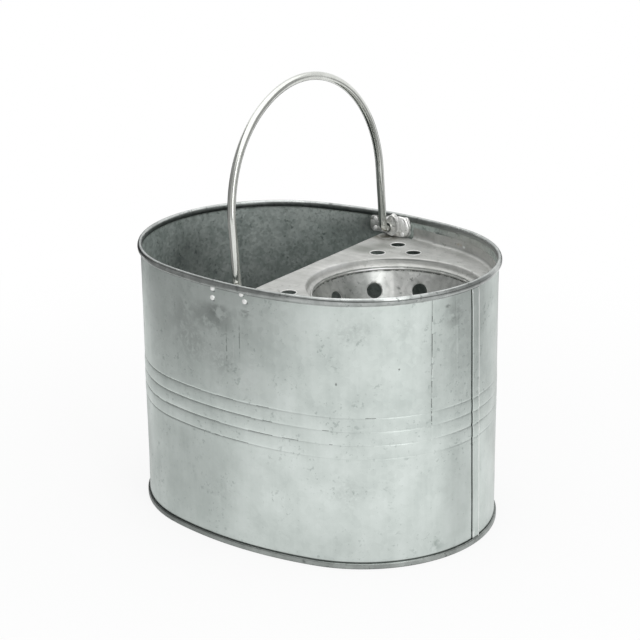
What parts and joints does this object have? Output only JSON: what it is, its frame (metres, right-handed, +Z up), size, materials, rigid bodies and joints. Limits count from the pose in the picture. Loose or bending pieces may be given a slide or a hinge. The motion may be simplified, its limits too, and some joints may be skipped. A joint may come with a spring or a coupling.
{
  "type": "mop bucket",
  "caption": "Oval galvanised steel mop bucket with a half-moon wringer deck, a perforated wringer cone and a wire bail that swings in riveted ears.",
  "frame": {"origin": "on the floor, under the middle of the oval", "axes": "+Z up, +X along the oval's length towards the wringer end, +Y across it towards the far ear"},
  "size_m": [0.33, 0.248, 0.3835],
  "materials": {
    "galvanised_sheet": "hot-dip galvanised, dull spangle",
    "steel_wire": "galvanised wire",
    "pressed_ear": "galvanised after pressing, bright and uneven",
    "rivet": "zinc plated"
  },
  "bodies": {
    "bucket": {"body_wall": "galvanised_sheet", "base_pan": "galvanised_sheet", "wringer_deck": "galvanised_sheet", "wringer_cone": "galvanised_sheet", "cone_bottom": "galvanised_sheet", "rim_wire": "steel_wire", "back_ear": "pressed_ear", "front_ear": "pressed_ear", "back_ear_rivets": "rivet", "front_ear_rivets": "rivet"},
    "bail": {"bail": "steel_wire"}
  },
  "joints": [
    {"name": "bail_swing", "type": "hinge", "parent": "bucket", "child": "bail", "pos_m": [-0.00335, 0, 0.223], "axis": [0, 1, 0], "range_deg": [-77.6, 95.4]}
  ]
}
